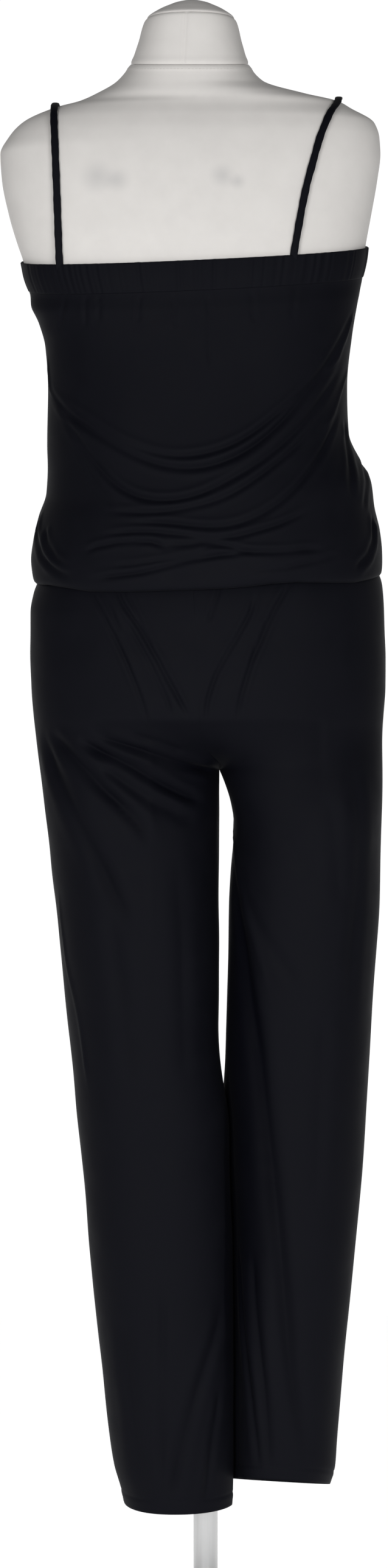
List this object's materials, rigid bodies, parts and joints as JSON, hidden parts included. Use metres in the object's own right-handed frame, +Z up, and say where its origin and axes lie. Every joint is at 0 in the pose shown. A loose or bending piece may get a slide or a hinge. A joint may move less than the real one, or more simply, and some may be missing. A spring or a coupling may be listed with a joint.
{
  "type": "jumpsuit on a limbless dress form and pole stand",
  "caption": "Black jersey jumpsuit with narrow straps, elasticated band, blousing bodice and tapered legs, on a padded dress form with pole and round base.",
  "frame": {"origin": "on the floor, at the middle of the round base's underside, on the pole's axis", "axes": "+Z up; the garment's front faces -Y and its back +Y; the wearer's left is +X"},
  "size_m": [0.3993, 0.32, 1.6936],
  "materials": {
    "jersey": "black viscose jersey, matt with a soft pale sheen at the rims",
    "form_cover": "off-white cotton jersey drawn smooth over the form",
    "pole_steel": "satin light grey tube",
    "base_steel": "satin light grey powder coat"
  },
  "bodies": {
    "root": {"form_torso": "form_cover", "form_neck": "form_cover", "form_neck_cap": "form_cover", "stand_pole": "pole_steel", "stand_base": "base_steel", "band_back": "jersey", "band_front": "jersey", "bodice_back": "jersey", "bodice_front": "jersey", "trouser_back_left": "jersey", "trouser_front_left": "jersey", "trouser_back_right": "jersey", "trouser_front_right": "jersey", "strap_left": "jersey", "strap_right": "jersey"}
  },
  "joints": []
}
